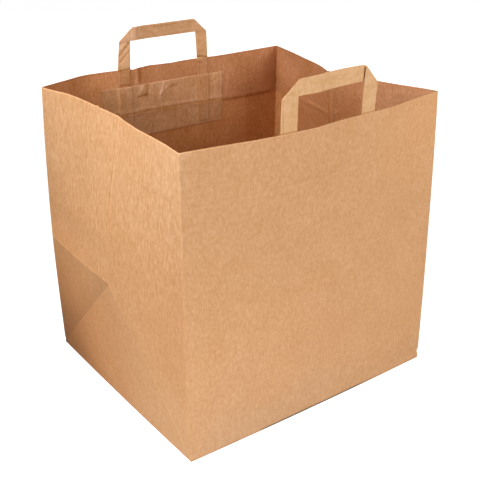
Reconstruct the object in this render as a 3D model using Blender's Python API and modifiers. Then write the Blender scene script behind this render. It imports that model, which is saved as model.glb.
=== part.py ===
"""Kraft paper carrier bag: one folded block-bottom sheet with two flat handles glued inside under paper patches.

Metres, +Z up. The origin is the centre of the base, on the face that the bag stands on.
X runs along the front wall to the right, Y from the front wall to the rear wall.
"""

import bmesh
import bpy
import numpy as np
from mathutils import Vector

MM = 0.001

# The opened bag.
BAG_WIDTH = 320 * MM
BAG_DEPTH = 280 * MM
BAG_HEIGHT = 320 * MM
PAPER = 0.15 * MM
CLEARANCE = 0.3 * MM

# The crease that runs all round below the rim, where the bag was folded flat.
RIM_CREASE_DROP = 52 * MM
RIM_CREASE_HALF = 4 * MM
RIM_CREASE_DEPTH = 0.8 * MM
RIM_CREASE_FADE = 25 * MM

# The base: a front flap lapped over a rear flap, with the side folds showing between them.
# Each flap is two sheets thick, because the side walls fold in with it.
FLAP_LAP = 24 * MM
FLAP_LAYERS = 2
FOLD_INSET = 0.5 * MM

# How the opened mouth stands. Each wall's line is a list of (share of the wall's length, distance).
# Front and rear walls bulge outwards, left to right. Side walls tuck inwards, front half and rear half.
FRONT_BULGE = ((0, 0), (0.12, 6 * MM), (0.25, 13 * MM), (0.39, 17 * MM), (0.55, 14 * MM), (0.74, 12 * MM),
               (0.86, 6 * MM), (1, 0))
REAR_BULGE = ((0, 0), (0.10, 9.5 * MM), (0.19, 17 * MM), (0.35, 10 * MM), (0.60, 7 * MM), (0.74, 1.5 * MM), (1, 0))
LEFT_TUCK_FRONT = ((0, 0), (0.24, 3.7 * MM), (0.56, 6 * MM), (0.80, 8.7 * MM), (1, 13 * MM))
LEFT_TUCK_REAR = ((0, 0), (0.14, 4.4 * MM), (0.32, 10.7 * MM), (0.45, 12 * MM), (1, 13 * MM))
RIGHT_TUCK_FRONT = ((0, 0), (0.15, 5.5 * MM), (0.28, 12 * MM), (0.48, 20 * MM), (1, 35 * MM))
RIGHT_TUCK_REAR = ((0, 0), (0.30, 8 * MM), (0.65, 19.5 * MM), (0.83, 25.5 * MM), (1, 35 * MM))
BULGE_POWER = 2.4
TUCK_DROP = 125 * MM
BELLY = 3 * MM
REAR_FOLD_OUT = 1 * MM
# How far each corner of the mouth is drawn in, and how far its upright edge bows out halfway up, along X and Y.
FRONT_LEFT_SHIFT = (1.2 * MM, 2.6 * MM)
FRONT_RIGHT_SHIFT = (0.1 * MM, 6.1 * MM)
REAR_LEFT_SHIFT = (-0.8 * MM, -9.4 * MM)
REAR_RIGHT_SHIFT = (3.0 * MM, -1.5 * MM)
FRONT_LEFT_BOW = (-0.8 * MM, -0.8 * MM)
FRONT_RIGHT_BOW = (1.2 * MM, -0.6 * MM)
REAR_LEFT_BOW = (-2.3 * MM, 1.8 * MM)
REAR_RIGHT_BOW = (1 * MM, 1 * MM)

# Handles: a flat strip with a mitre fold at each upper corner. The front one is folded a little wider.
FRONT_STRIP_WIDTH = 16.5 * MM
REAR_STRIP_WIDTH = 14.5 * MM
STRIP_THICKNESS = 0.6 * MM
STRIP_BITE = 0.1 * MM
HANDLE_SPAN = 117 * MM
HANDLE_RISE = 46.5 * MM
HANDLE_LEG_DROP = 76 * MM
FRONT_HANDLE_CENTRE = -1.5 * MM
REAR_HANDLE_CENTRE = -2 * MM

# Patches glued over the handle legs.
PATCH_WIDTH = 160 * MM
PATCH_HEIGHT = 61 * MM
PATCH_DROP = 20 * MM
PATCH_RAMP = 2 * MM
FRONT_PATCH_CENTRE = -1.5 * MM
REAR_PATCH_CENTRE = -4.5 * MM

# The grid of flat facets that the sheet is drawn with.
WIDTH_CELLS = 16
DEPTH_CELLS = 14
SIDE_ROWS = 5
RIM_ROWS = 2

KRAFT_OUTSIDE = (0.66, 0.38, 0.20, 1)
KRAFT_HANDLE = (0.70, 0.43, 0.24, 1)
KRAFT_PATCH = (0.60, 0.33, 0.17, 1)

TINY = 1e-6
FLAP_THICKNESS = FLAP_LAYERS * PAPER
BASE_HEIGHT = 2 * FLAP_THICKNESS
APEX_HEIGHT = BASE_HEIGHT + BAG_DEPTH / 2
RIM_CREASE_HEIGHT = BAG_HEIGHT - RIM_CREASE_DROP
TUCK_HEIGHT = BAG_HEIGHT - TUCK_DROP
WIDTH_COLUMNS = np.linspace(-BAG_WIDTH / 2, BAG_WIDTH / 2, WIDTH_CELLS + 1)
DEPTH_COLUMNS = np.linspace(-BAG_DEPTH / 2, BAG_DEPTH / 2, DEPTH_CELLS + 1)


def row_heights():
    """Heights of the sheet's horizontal rows, with the crease lines among them."""
    below_apex = np.linspace(BASE_HEIGHT, APEX_HEIGHT, DEPTH_CELLS // 2 + 1)
    crease = [RIM_CREASE_HEIGHT + side * RIM_CREASE_HALF for side in (-1, 0, 1)]
    below_crease = np.linspace(APEX_HEIGHT, crease[0], SIDE_ROWS + 1)
    above_crease = np.linspace(crease[-1], BAG_HEIGHT, RIM_ROWS + 1)
    return np.unique(np.concatenate([below_apex, below_crease, crease, above_crease]).round(7))


ROWS = row_heights()


def smooth_line(points, share):
    """Height of a smooth line through the points that never swings past them."""
    at = np.array([point[0] for point in points], float)
    value = np.array([point[1] for point in points], float)
    slope = np.diff(value) / np.diff(at)
    tangent = np.zeros(len(at))
    tangent[0], tangent[-1] = slope[0], slope[-1]
    same_way = slope[:-1] * slope[1:] > 0
    tangent[1:-1][same_way] = 2 * slope[:-1][same_way] * slope[1:][same_way] / (slope[:-1] + slope[1:])[same_way]
    i = int(np.clip(np.searchsorted(at, share) - 1, 0, len(at) - 2))
    run = at[i + 1] - at[i]
    s = (share - at[i]) / run
    start = (1 + 2 * s) * (1 - s) ** 2 * value[i] + s * (1 - s) ** 2 * run * tangent[i]
    end = s * s * (3 - 2 * s) * value[i + 1] - s * s * (1 - s) * run * tangent[i + 1]
    return start + end


def faceted(columns, line):
    """The line's value at each column, so that everything laid on the wall shares its facets."""
    length = columns[-1] - columns[0]
    return [smooth_line(line, (column - columns[0]) / length) for column in columns]


def tuck_values(front, rear):
    """A side wall's inward tuck at each column, front half then rear half, with the crease between."""
    half = BAG_DEPTH / 2
    return [smooth_line(front if y <= 0 else rear, 1 - abs(y) / half) for y in DEPTH_COLUMNS]


CORNERS = {
    (-1, -1): (FRONT_LEFT_SHIFT, FRONT_LEFT_BOW),
    (1, -1): (FRONT_RIGHT_SHIFT, FRONT_RIGHT_BOW),
    (-1, 1): (REAR_LEFT_SHIFT, REAR_LEFT_BOW),
    (1, 1): (REAR_RIGHT_SHIFT, REAR_RIGHT_BOW),
}

WALL_VALUES = {
    "front": faceted(WIDTH_COLUMNS, FRONT_BULGE),
    "rear": faceted(WIDTH_COLUMNS, REAR_BULGE),
    "left": tuck_values(LEFT_TUCK_FRONT, LEFT_TUCK_REAR),
    "right": tuck_values(RIGHT_TUCK_FRONT, RIGHT_TUCK_REAR),
}


def rise(z):
    """Share of the bag's height, from 0 at the base to 1 at the rim and above it."""
    return min(max((z - BASE_HEIGHT) / (BAG_HEIGHT - BASE_HEIGHT), 0), 1)


def crease_dent(from_corner, z):
    """How far the crease below the rim dents the wall, fading out at the bag's upright edges."""
    depth = max(0, 1 - abs(z - RIM_CREASE_HEIGHT) / RIM_CREASE_HALF)
    return RIM_CREASE_DEPTH * depth * min(1, from_corner / RIM_CREASE_FADE)


def corner_shift(x, y, z):
    """The corners are drawn together towards the mouth, and the upright edges bow out halfway up."""
    shift = Vector((0, 0, 0))
    halfway = 4 * rise(z) * (1 - rise(z))
    for (side_x, side_y), (mouth, bow) in CORNERS.items():
        weight = (0.5 + side_x * x / BAG_WIDTH) * (0.5 + side_y * y / BAG_DEPTH)
        shift += weight * (rise(z) * Vector((*mouth, 0)) + halfway * Vector((*bow, 0)))
    return shift


def end_wall_bulge(wall, x, z):
    """Outward distance of the front or rear wall."""
    bulge = float(np.interp(x, WIDTH_COLUMNS, WALL_VALUES[wall])) * rise(z) ** BULGE_POWER
    fold = 0
    if wall == "rear":
        fold = REAR_FOLD_OUT * float(np.interp(z, (BASE_HEIGHT, APEX_HEIGHT, BAG_HEIGHT), (0, 1, 0)))
    return bulge + fold - crease_dent(BAG_WIDTH / 2 - abs(x), z)


def side_wall_bulge(wall, y, z):
    """Outward distance of a side wall: facets out to the apex below, the gusset drawn in above."""
    from_corner = BAG_DEPTH / 2 - abs(y)
    across = from_corner / (BAG_DEPTH / 2)
    edge = REAR_FOLD_OUT if y > 0 else 0
    up = min(1, (z - BASE_HEIGHT) / (APEX_HEIGHT - BASE_HEIGHT))
    facets = BELLY * min(up, across) + edge * max(up - across, 0)
    facets *= float(np.interp(z, (APEX_HEIGHT, BAG_HEIGHT), (1, 0)))
    tuck = float(np.interp(y, DEPTH_COLUMNS, WALL_VALUES[wall])) * max(0, (z - TUCK_HEIGHT) / TUCK_DROP)
    return facets - tuck - crease_dent(from_corner, z)


def bag_point(x, y, z):
    """Where a point of the square box comes to lie on the opened bag."""
    moved = Vector((x, y, z)) + corner_shift(x, y, z)
    if abs(abs(y) - BAG_DEPTH / 2) < TINY:
        wall = "front" if y < 0 else "rear"
        moved.y += np.sign(y) * end_wall_bulge(wall, x, z)
    if abs(abs(x) - BAG_WIDTH / 2) < TINY:
        wall = "left" if x < 0 else "right"
        moved.x += np.sign(x) * side_wall_bulge(wall, y, z)
    return moved


def material(name, colour):
    paper = bpy.data.materials.new(name)
    paper.use_nodes = True
    shader = paper.node_tree.nodes["Principled BSDF"]
    shader.inputs["Base Color"].default_value = colour
    shader.inputs["Roughness"].default_value = 0.85
    shader.inputs["Metallic"].default_value = 0
    return paper


def new_object(name, mesh, collection, paper=None):
    data = bpy.data.meshes.new(name)
    bmesh.ops.recalc_face_normals(mesh, faces=mesh.faces)
    mesh.to_mesh(data)
    mesh.free()
    made = bpy.data.objects.new(name, data)
    collection.objects.link(made)
    if paper:
        data.materials.append(paper)
    return made


def cut(mesh, point, normal, faces=None, clear=False):
    """Cuts the mesh along a plane, and with clear takes away what lies in front of it and closes the cut."""
    faces = list(mesh.faces) if faces is None else faces
    edges = {edge for face in faces for edge in face.edges}
    verts = {vert for face in faces for vert in face.verts}
    made = bmesh.ops.bisect_plane(mesh, geom=faces + list(edges) + list(verts), dist=1e-7, plane_co=point,
                                  plane_no=normal, clear_outer=clear)
    if clear:
        rim = [item for item in made["geom_cut"] if isinstance(item, bmesh.types.BMEdge)]
        bmesh.ops.contextual_create(mesh, geom=rim)


def cut_to_grid(mesh):
    """Cuts a mesh along the columns and rows of the sheet, so that it can bend with the wall."""
    for x in WIDTH_COLUMNS[1:-1]:
        cut(mesh, (x, 0, 0), (1, 0, 0))
    for z in ROWS[1:-1]:
        cut(mesh, (0, 0, z), (0, 0, 1))


def box_mesh(low, high):
    mesh = bmesh.new()
    bmesh.ops.create_cube(mesh, size=1)
    low, high = Vector(low), Vector(high)
    bmesh.ops.scale(mesh, vec=high - low, verts=mesh.verts)
    bmesh.ops.translate(mesh, vec=(low + high) / 2, verts=mesh.verts)
    return mesh


def join(base, other, name):
    """A Boolean union that stays on the object."""
    union = base.modifiers.new(name, "BOOLEAN")
    union.operation = "UNION"
    union.solver = "EXACT"
    union.object = other
    other.hide_render = True
    other.display_type = "WIRE"


def base_flap(name, side, low, collection):
    """A flap folded in from the front (side -1) or rear (side 1), its ends mitred where the side walls fold."""
    outer = side * (BAG_DEPTH / 2 - FOLD_INSET)
    inner = -side * FLAP_LAP / 2
    half_width = BAG_WIDTH / 2 - FOLD_INSET
    mesh = box_mesh((-half_width, min(outer, inner), low), (half_width, max(outer, inner), BASE_HEIGHT + PAPER / 2))
    for end in (-1, 1):
        cut(mesh, (end * half_width, outer, 0), (end, -side, 0), clear=True)
    return new_object(name, mesh, collection)


def bag_body(collection, helpers, paper):
    """The folded sheet: a box open at the top, cut at its creases, bent to its opened shape and thickened."""
    mesh = box_mesh((-BAG_WIDTH / 2, -BAG_DEPTH / 2, BASE_HEIGHT), (BAG_WIDTH / 2, BAG_DEPTH / 2, BAG_HEIGHT))
    top = [face for face in mesh.faces if face.normal.z > 0.5]
    bmesh.ops.delete(mesh, geom=top, context="FACES_ONLY")
    cut_to_grid(mesh)
    for y in DEPTH_COLUMNS[1:-1]:
        cut(mesh, (0, y, 0), (0, 1, 0))
    for side in (-1, 1):
        sides = [face for face in mesh.faces if abs(face.normal.x) > 0.5 and face.calc_center_median().z < APEX_HEIGHT]
        cut(mesh, (0, 0, APEX_HEIGHT), (0, side, 1), faces=sides)
    for vert in mesh.verts:
        vert.co = bag_point(*vert.co)
    body = new_object("bag_body", mesh, collection, paper)
    thicken = body.modifiers.new("paper", "SOLIDIFY")
    thicken.thickness = PAPER
    thicken.offset = -1
    thicken.use_even_offset = True
    join(body, base_flap("rear_base_flap", 1, FLAP_THICKNESS, helpers), "rear flap")
    join(body, base_flap("front_base_flap", -1, 0, helpers), "front flap")
    return body


def leg_edges(centre, strip_width):
    """Where each handle leg begins and ends across the bag, left leg then right leg."""
    half = HANDLE_SPAN / 2
    return ((centre - half, centre - half + strip_width), (centre + half - strip_width, centre + half))


def lay_on_wall(mesh, side, depth_of):
    """Bends a flat mesh onto the inside of the front (side -1) or rear (side 1) wall."""
    for vert in mesh.verts:
        x, y, z = vert.co
        inward = PAPER + CLEARANCE + depth_of(x, y, z)
        on_wall = bag_point(x, side * BAG_DEPTH / 2, z)
        vert.co = on_wall - Vector((0, side * inward, 0))
    if side > 0:
        bmesh.ops.reverse_faces(mesh, faces=mesh.faces)


def handle(name, side, legs, collection, helpers, paper):
    """Two legs against the wall and a bar folded over them, mitred at both upper corners."""
    bottom = BAG_HEIGHT - HANDLE_LEG_DROP
    top = BAG_HEIGHT + HANDLE_RISE
    (left, inner), (_, right) = legs
    shoulder = top - (inner - left)
    corners = ((left, (-1, 0, 1)), (right, (1, 0, 1)))
    bar = box_mesh((left, STRIP_THICKNESS - STRIP_BITE, shoulder), (right, 2 * STRIP_THICKNESS - STRIP_BITE, top))
    for edge, normal in corners:
        cut(bar, (edge, 0, shoulder), normal, clear=True)
    made = new_object(name, bar, collection, paper)
    for (low, high), (edge, normal), tag in zip(legs, corners, ("left", "right")):
        leg = box_mesh((low, 0, bottom), (high, STRIP_THICKNESS, top))
        cut(leg, (edge, 0, shoulder), normal, clear=True)
        join(made, new_object(f"{name}_{tag}_leg", leg, helpers), f"{tag} leg")
    joined = bmesh.new()
    joined.from_object(made, bpy.context.evaluated_depsgraph_get())
    made.modifiers.clear()
    cut_to_grid(joined)
    bmesh.ops.triangulate(joined, faces=joined.faces)
    lay_on_wall(joined, side, lambda x, y, z: y)
    joined.to_mesh(made.data)
    joined.free()
    return made


def patch_lift(legs, x, z):
    """0 where the patch lies on the wall, 1 where it passes over a handle leg, with a short ramp between."""
    leg_bottom = BAG_HEIGHT - HANDLE_LEG_DROP
    lift = 0
    for low, high in legs:
        away = max(low - x, x - high, leg_bottom - z)
        lift = max(lift, min(1, 1 - (away - CLEARANCE) / PATCH_RAMP))
    return lift


def patch(name, side, centre, legs, collection, paper):
    """A sheet of paper glued over the legs, embossed where it passes over them."""
    top = BAG_HEIGHT - PATCH_DROP
    mesh = bmesh.new()
    bmesh.ops.create_grid(mesh, x_segments=1, y_segments=1, size=0.5)
    bmesh.ops.scale(mesh, vec=(PATCH_WIDTH, PATCH_HEIGHT, 1), verts=mesh.verts)
    for vert in mesh.verts:
        vert.co = (centre + vert.co.x, 0, top - PATCH_HEIGHT / 2 + vert.co.y)
    cut_to_grid(mesh)
    for low, high in legs:
        for x in (low - CLEARANCE - PATCH_RAMP, low - CLEARANCE, high + CLEARANCE, high + CLEARANCE + PATCH_RAMP):
            cut(mesh, (x, 0, 0), (1, 0, 0))
    leg_bottom = BAG_HEIGHT - HANDLE_LEG_DROP
    for z in (leg_bottom - CLEARANCE, leg_bottom - CLEARANCE - PATCH_RAMP):
        cut(mesh, (0, 0, z), (0, 0, 1))
    over_leg = STRIP_THICKNESS + CLEARANCE
    lay_on_wall(mesh, side, lambda x, y, z: over_leg * patch_lift(legs, x, z))
    made = new_object(name, mesh, collection, paper)
    thicken = made.modifiers.new("paper", "SOLIDIFY")
    thicken.thickness = PAPER
    thicken.offset = 1 if made.data.polygons[0].normal.y * side < 0 else -1
    thicken.use_even_offset = True
    return made


def main():
    for old in list(bpy.data.objects):
        bpy.data.objects.remove(old, do_unlink=True)
    collection = bpy.data.collections.new("paper_carrier_bag")
    helpers = bpy.data.collections.new("helpers")
    for group in (collection, helpers):
        bpy.context.scene.collection.children.link(group)
    bag_body(collection, helpers, material("kraft_bag", KRAFT_OUTSIDE))
    handle_paper = material("kraft_handle", KRAFT_HANDLE)
    patch_paper = material("kraft_patch", KRAFT_PATCH)
    for place, side, handle_centre, strip_width, patch_centre in (
        ("front", -1, FRONT_HANDLE_CENTRE, FRONT_STRIP_WIDTH, FRONT_PATCH_CENTRE),
        ("rear", 1, REAR_HANDLE_CENTRE, REAR_STRIP_WIDTH, REAR_PATCH_CENTRE),
    ):
        legs = leg_edges(handle_centre, strip_width)
        handle(f"{place}_handle", side, legs, collection, helpers, handle_paper)
        patch(f"{place}_handle_patch", side, patch_centre, legs, collection, patch_paper)


main()
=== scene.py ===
import math
from collections import namedtuple

import bmesh
import bpy
import numpy as np
from mathutils import Matrix, Vector


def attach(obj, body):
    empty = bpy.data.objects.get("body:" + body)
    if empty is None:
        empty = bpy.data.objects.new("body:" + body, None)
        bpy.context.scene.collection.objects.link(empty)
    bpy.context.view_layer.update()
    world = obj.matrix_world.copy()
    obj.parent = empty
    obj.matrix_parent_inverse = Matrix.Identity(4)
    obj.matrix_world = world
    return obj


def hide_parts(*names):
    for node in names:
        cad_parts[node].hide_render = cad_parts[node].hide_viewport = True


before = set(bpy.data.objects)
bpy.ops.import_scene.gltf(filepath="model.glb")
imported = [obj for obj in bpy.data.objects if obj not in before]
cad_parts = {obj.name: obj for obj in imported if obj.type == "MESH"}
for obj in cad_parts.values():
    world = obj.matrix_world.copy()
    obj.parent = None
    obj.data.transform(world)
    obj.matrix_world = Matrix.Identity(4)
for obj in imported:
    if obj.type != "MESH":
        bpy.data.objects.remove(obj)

MM = 0.001


def millimetres(value):
    """A number given in millimetres, or every number of a table of them."""
    if isinstance(value, dict):
        return {key: millimetres(item) for key, item in value.items()}
    if isinstance(value, tuple):
        return tuple(millimetres(item) for item in value)
    return value * MM


def profile(*points):
    """A line given as (share of the length, distance in mm)."""
    return tuple((share, distance * MM) for share, distance in points)


# The opened bag. The origin is the centre of its base, X along the front wall, Y to the rear wall.
WIDTH = 320 * MM
DEPTH = 280 * MM
HEIGHT = 320 * MM
FLAP = 0.3 * MM
BASE = 2 * FLAP
PAPER = 0.22 * MM
# Each wall: the axis that it faces along (0 is X, 1 is Y), which way, and its length.
WALLS = {"front": (1, -1, WIDTH), "rear": (1, 1, WIDTH), "left": (0, -1, DEPTH), "right": (0, 1, DEPTH)}
# The distance from a crease where it doesn't run, and how near a plane of the square box counts as on it.
FAR = 1.0
CLOSE = 1e-7

# How the mouth stands: the front and rear walls bulge out, and the front and rear half of each side tuck in.
BULGES = {
    "front": profile((0, 0), (0.12, 6), (0.25, 13), (0.39, 17), (0.55, 14), (0.74, 12), (0.86, 6), (1, 0)),
    "rear": profile((0, 0), (0.10, 9.5), (0.19, 17), (0.35, 10), (0.60, 7), (0.74, 1.5), (1, 0)),
}
TUCKS = {
    "left": (profile((0, 0), (0.24, 3.7), (0.56, 6), (0.80, 8.7), (1, 13)),
             profile((0, 0), (0.14, 4.4), (0.32, 10.7), (0.45, 12), (1, 13))),
    "right": (profile((0, 0), (0.15, 5.5), (0.28, 12), (0.48, 20), (1, 35)),
              profile((0, 0), (0.30, 8), (0.65, 19.5), (0.83, 25.5), (1, 35))),
}
BULGE_POWER = 2.4
TUCK_DROP = 125 * MM
TUCK_START = 2 * MM

# Each upright edge: how far its top is drawn in and how far it bows out halfway up, along X and Y.
CORNERS = millimetres({
    (-1, -1): ((1.2, 2.6), (-0.8, -0.8)),
    (1, -1): ((0.1, 6.1), (1.7, -0.6)),
    (-1, 1): ((-0.8, -9.4), (-2.3, 1.8)),
    (1, 1): ((3.0, -1.5), (1, 1)),
})
# Small dents of the lower corners, as (height, half height, reach along the walls, push along X and Y).
CORNER_NIPS = millimetres({(1, -1): (9, 2.6, 9, (-1.1, 0.9)), (-1, 1): (5, 3.5, 8, (0.4, -0.3))})
# Radius of the upright folds by height: sharp at the mouth, softer down the wall, sharp at the base.
FOLD_RADIUS = millimetres(((0, 0.8), (30, 2.6), (150, 3.6), (225, 1.8), (260, 0.9), (320, 0.8)))
# The other three upright folds are sharper than the front left one by this share.
SHARPER = 0.4
BASE_FOLD_RADIUS = 0.6 * MM

# Folds of the side walls: the gusset's apex, and its centre line as (height, place along Y).
APEX_HEIGHT = 145 * MM
GUSSET_LINES = millimetres({
    "left": ((145, -7), (165, -3), (202, -2), (244, -4.4), (320, -8.5)),
    "right": ((0, 0), (145, 0), (195, 14), (255, 11), (272, 6), (297, -1.4), (320, -2)),
})
GUSSET_DEPTH = 0.35 * MM
GUSSET_HALF_WIDTH = 1.4 * MM
GUSSET_START = 20 * MM
BELLY = 7 * MM
REAR_FOLD_OUT = 1 * MM
# How roundly the left wall's facets swell: at the rear, and at the front.
REAR_SWELL_POWER = 1.9
FRONT_SWELL_POWER = 1.5

# The crease that runs all round below the rim: its height at each end of each wall.
RIM_CREASE = millimetres({"front": (268, 267), "rear": (269, 263), "left": (269, 267), "right": (267, 263)})
# How deep it is on the outside and how wide, as (sharp line, broad hollow).
RIM_CREASE_DEPTH = millimetres({"front": (0.12, 0.15), "rear": (0.6, 0.6), "left": (0.08, 0.1),
                                "right": (0.05, 0.1)})
RIM_CREASE_HALF_WIDTHS = millimetres((1.6, 9))
RIM_CREASE_END = 12 * MM
# Small waves of the raw edge, as (place, half width, outward distance), and how far down they reach.
RIM_WAVES = millimetres({"front": ((-19, 7, 0.9), (-40, 9, -0.6), (80, 14, 0.6)),
                         "rear": ((-40, 6, -1.2), (-22, 9, 0.8), (-70, 12, 0.6)),
                         "left": ((32, 4, 0.8), (-2, 3, 1), (-60, 12, 0.5)),
                         "right": ((40, 14, 0.5),)})
RIM_WAVE_REACH = 14 * MM
# Small dips of the raw edge, and nibs where the drop is negative, as (place, half width, drop).
RIM_DIPS = millimetres({"front": (), "rear": ((-43.5, 3, 1.1), (-21, 9, -0.55), (8, 7, 0.5)),
                        "left": ((32.3, 1.5, -1.7), (-2.5, 2, -0.6)), "right": ()})
RIM_DIP_REACH = 16 * MM
# How far the lower edge of a wall bows out, most in the middle, and how high up that reaches.
LOWER_EDGE_BOW = millimetres({"front": 1.8, "left": 1.1, "rear": 0, "right": 0})
LOWER_BOW_REACH = 70 * MM

# Crumples of the paper, as layers of (height in mm, size in mm, seed). On the walls they fade out within the
# first distance of the folds, and between the other two below the rim.
CRUMPLES = {"wall": ((0.5, 55, 11), (0.12, 17, 31)), "patch": ((0.18, 12, 8), (0.08, 4, 9)),
            "rear bar": ((0.16, 6, 5),), "rear leg": ((0.08, 8, 6),),
            "front hook": ((0.08, 7, 15),), "front leg": ((0.08, 7, 16),)}
CALM_EDGE = 25 * MM
CALM_RIM = millimetres((-1, 10))

# The base: how far the flaps stay inside the folds, how far they lap past the middle, and the rim of their
# undersides that is shaded.
FLAP_CLEARANCE = 0.15 * MM
FLAP_LAP = 12 * MM
FLAP_RIM = 3 * MM
FLAP_EDGE_POINTS = 25

# Handles: X of the legs' four sides at the rim, of the same at the bar, and of the bar's upper corners.
HANDLES = millimetres({"front": ((-62.2, -44, 38.5, 56), (-60.6, -42.6, 38.8, 56.8), (-41.8, 39.8)),
                       "rear": ((-62.1, -47.3, 42, 55.5), (-58.4, -45.2, 40.4, 54.8), (-42, 39))})
HANDLE_TOP = 367.2 * MM
# Height of the bar's lower edge, and of the outer shoulders at its left and right.
SHOULDER = 352 * MM
OUTER_SHOULDERS = millimetres({"front": (351.8, 349), "rear": (352.4, 351.6)})
LEG_BOTTOM = 244 * MM
STRIP = 0.6 * MM
STRIP_BEVEL = 0.18 * MM
LEG_OFF_WALL = 0.45 * MM
BAR_OFF_WALL = 1.1 * MM
FRONT_LEG_LEAN = 1.6 * MM
# The front handle: how far its bar arches up, and how far the right leg's inner side leans out at the top.
FRONT_BAR_ARCH = 0.9 * MM
FRONT_LEG_FLARE = 1.0 * MM
SHEET_GRID = 1.1 * MM

# Patches, as (left edge, right edge, bottom, top).
PATCHES = millimetres({"front": (-81.5, 78.5, 239, 300), "rear": (-84.5, 75.5, 239, 300)})
PATCH_PAPER = 0.18 * MM
PATCH_OFF_WALL = 0.55 * MM
# How far the patch rides up over the legs, and the least of that.
PATCH_LIFT = STRIP + 0.4 * MM
LEAST_PATCH_LIFT = STRIP + 0.3 * MM
# How much flatter the patch's own crumples are where it rides up.
FLATTER = 0.6
# The least that anything glued to a wall stands off its outer face, so that no groove runs through the paper.
LEAST_OFF_WALL = 0.28 * MM
# The height from which the rear legs are free of the wall, and the least that they stand off its line there.
FREE_HEIGHT = HEIGHT + 2 * MM
LEAST_WHEN_FREE = -1 * MM

# Grooves (negative) and ridges of the paper, as (from, to, half width, height) along the wall and up it.
REAR_LEG_MARKS = millimetres((
    ((-58.5, 336), (-46.5, 350), 1.5, -0.9), ((-58.5, 329), (-47, 340.5), 1.6, -0.7),
    ((-56, 345), (-51, 351), 1.6, 0.4), ((-61, 318.8), (-48, 320.8), 0.8, -0.7),
    ((-61, 302.6), (-49, 302), 0.9, -0.45), ((42, 322.4), (55.6, 320.8), 0.9, -0.8),
    ((44, 315.5), (47, 315), 0.9, -0.5)))
# Painted shade lines of the rear legs' creases, seen as lines only: at the rim, and the shade under the bar's
# lower edge where it is folded over.
REAR_LEG_SHADE_LINES = millimetres((
    ((-61, 319.3), (-48, 320.9), 0.8, -1.3), ((-61, 302.6), (-49, 302.2), 1.0, -0.9),
    ((-60, 316), (-50, 308), 1.2, -0.35), ((42, 322.4), (55.6, 320.8), 0.8, -1.3),
    ((44, 315.5), (47.5, 315), 1.0, -0.9), ((-59, 351.2), (-45.5, 351.2), 0.7, -0.7),
    ((40.5, 351.2), (54.6, 351.2), 0.7, -0.6)))
REAR_PATCH_MARKS = millimetres((
    ((-4.2, 297), (-9, 286), 1.3, 0.5), ((-9, 286), (-10.1, 275), 1.2, 0.45),
    ((-9, 286), (0, 293), 1.6, 0.4), ((3.7, 291.8), (12.8, 292.6), 1.5, -0.8),
    ((-25.9, 300), (-27.5, 287.5), 1.3, -0.9), ((-27.5, 287.5), (-38.9, 286.3), 1.4, -0.9),
    ((-33, 296), (-36, 290), 2.2, 0.5), ((-57, 292), (-55, 262), 1.4, -0.3),
    ((-84, 269), (75, 266), 1.3, -0.8), ((-84, 272), (75, 269), 1.6, 0.3),
    ((26, 262), (24, 244), 1.8, -0.25), ((64, 296), (66, 272), 1.6, 0.25)))
# Painted light and shade lines where the edges of the legs show through the patch, as lines only.
REAR_PATCH_LIGHT_AND_SHADE_LINES = millimetres((
    ((-62.6, 299), (-62.2, 246), 0.9, 0.15), ((-61, 298), (-60.8, 246), 0.9, -0.25),
    ((-46.6, 299), (-46.4, 246), 0.9, -0.32), ((-45, 299), (-44.8, 247), 0.9, 0.16),
    ((41.3, 299), (41.6, 246), 0.9, -0.30), ((43, 299), (43.2, 246), 0.9, 0.20),
    ((45.5, 297), (45.6, 281), 0.7, -0.35), ((45.4, 262), (45.2, 247), 0.7, -0.35),
    ((56.4, 299), (56.2, 246), 0.9, -0.30)))
# Grooves and ridges of the walls, as seen from outside in front and from inside elsewhere.
WALL_MARKS = millimetres({
    "front": (((139, 17.5), (154, 9), 1.8, -0.7), ((142, 22), (152, 18), 3, 0.4)),
    "rear": (((-45, 319), (-45.2, 301), 1.0, -0.8), ((-35, 319), (-36.5, 301), 1.3, -0.8),
             ((-40.5, 317), (-40, 303), 2.0, 0.7), ((-28, 318), (-30, 306), 2.0, -0.3)),
    "left": (),
    "right": (((73, 264), (22, 262), 2.8, 0.65), ((62, 269.5), (19.5, 265.2), 1.8, -0.3),
              ((3.3, 266.6), (-16.5, 273.7), 2.2, 0.4)),
})

# The sheet's grid in mm: steps in from each upright fold, then runs of (from, to, spacing) that are fine
# where the creases are, for the rows up the walls and for the columns along them.
CORNER_STEPS = (0, 0.4, 0.9, 1.5, 2.3, 3.4, 5, 7.2)
ROWS = ((7.2, 24, 2.4), (24, 130, 6), (130, 145, 3), (145, 160, 3), (160, 256, 5), (256, 278, 1.4),
        (278, 312, 3.6), (312, 320, 1.6))
END_WALL_COLUMNS = ((-152.8, 128, 4.2), (128, 152.8, 2.6))
SIDE_WALL_COLUMNS = ((-132.8, -14, 4.2), (-14, 14, 1.6), (14, 29, 3.8), (29, 35, 1), (35, 132.8, 4.2))

# The papers' colours. The inside's is the outside paper made darker and redder, as painted shade of the bag's
# inside.
OUTSIDE_COLOUR = (0.61, 0.327, 0.153, 1)
SHADED_INSIDE_COLOUR = (0.542, 0.235, 0.098, 1)
PATCH_COLOUR = (0.605, 0.307, 0.14, 1)
FRONT_HANDLE_COLOUR = (0.65, 0.374, 0.181, 1)
REAR_HANDLE_COLOUR = (0.625, 0.336, 0.157, 1)
# Powers that turn a tone into the red, green and blue of browner or paler pulp, and the darkest mark's tone.
TINT_POWERS = (0.63, 1.0, 1.75)
DARKEST = 0.1
# The paper's noises, as (scale along each axis, detail, roughness): broad clouds, mottled pulp, fine fibres.
CLOUDS = ((28, 28, 28), 2, 0.5)
MOTTLE = ((330, 330, 260), 5, 0.7)
STREAKS = ((900, 900, 110), 3, 0.6)
# The range that most of a noise lies in.
NOISE_LOW = 0.3
NOISE_HIGH = 0.7
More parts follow.
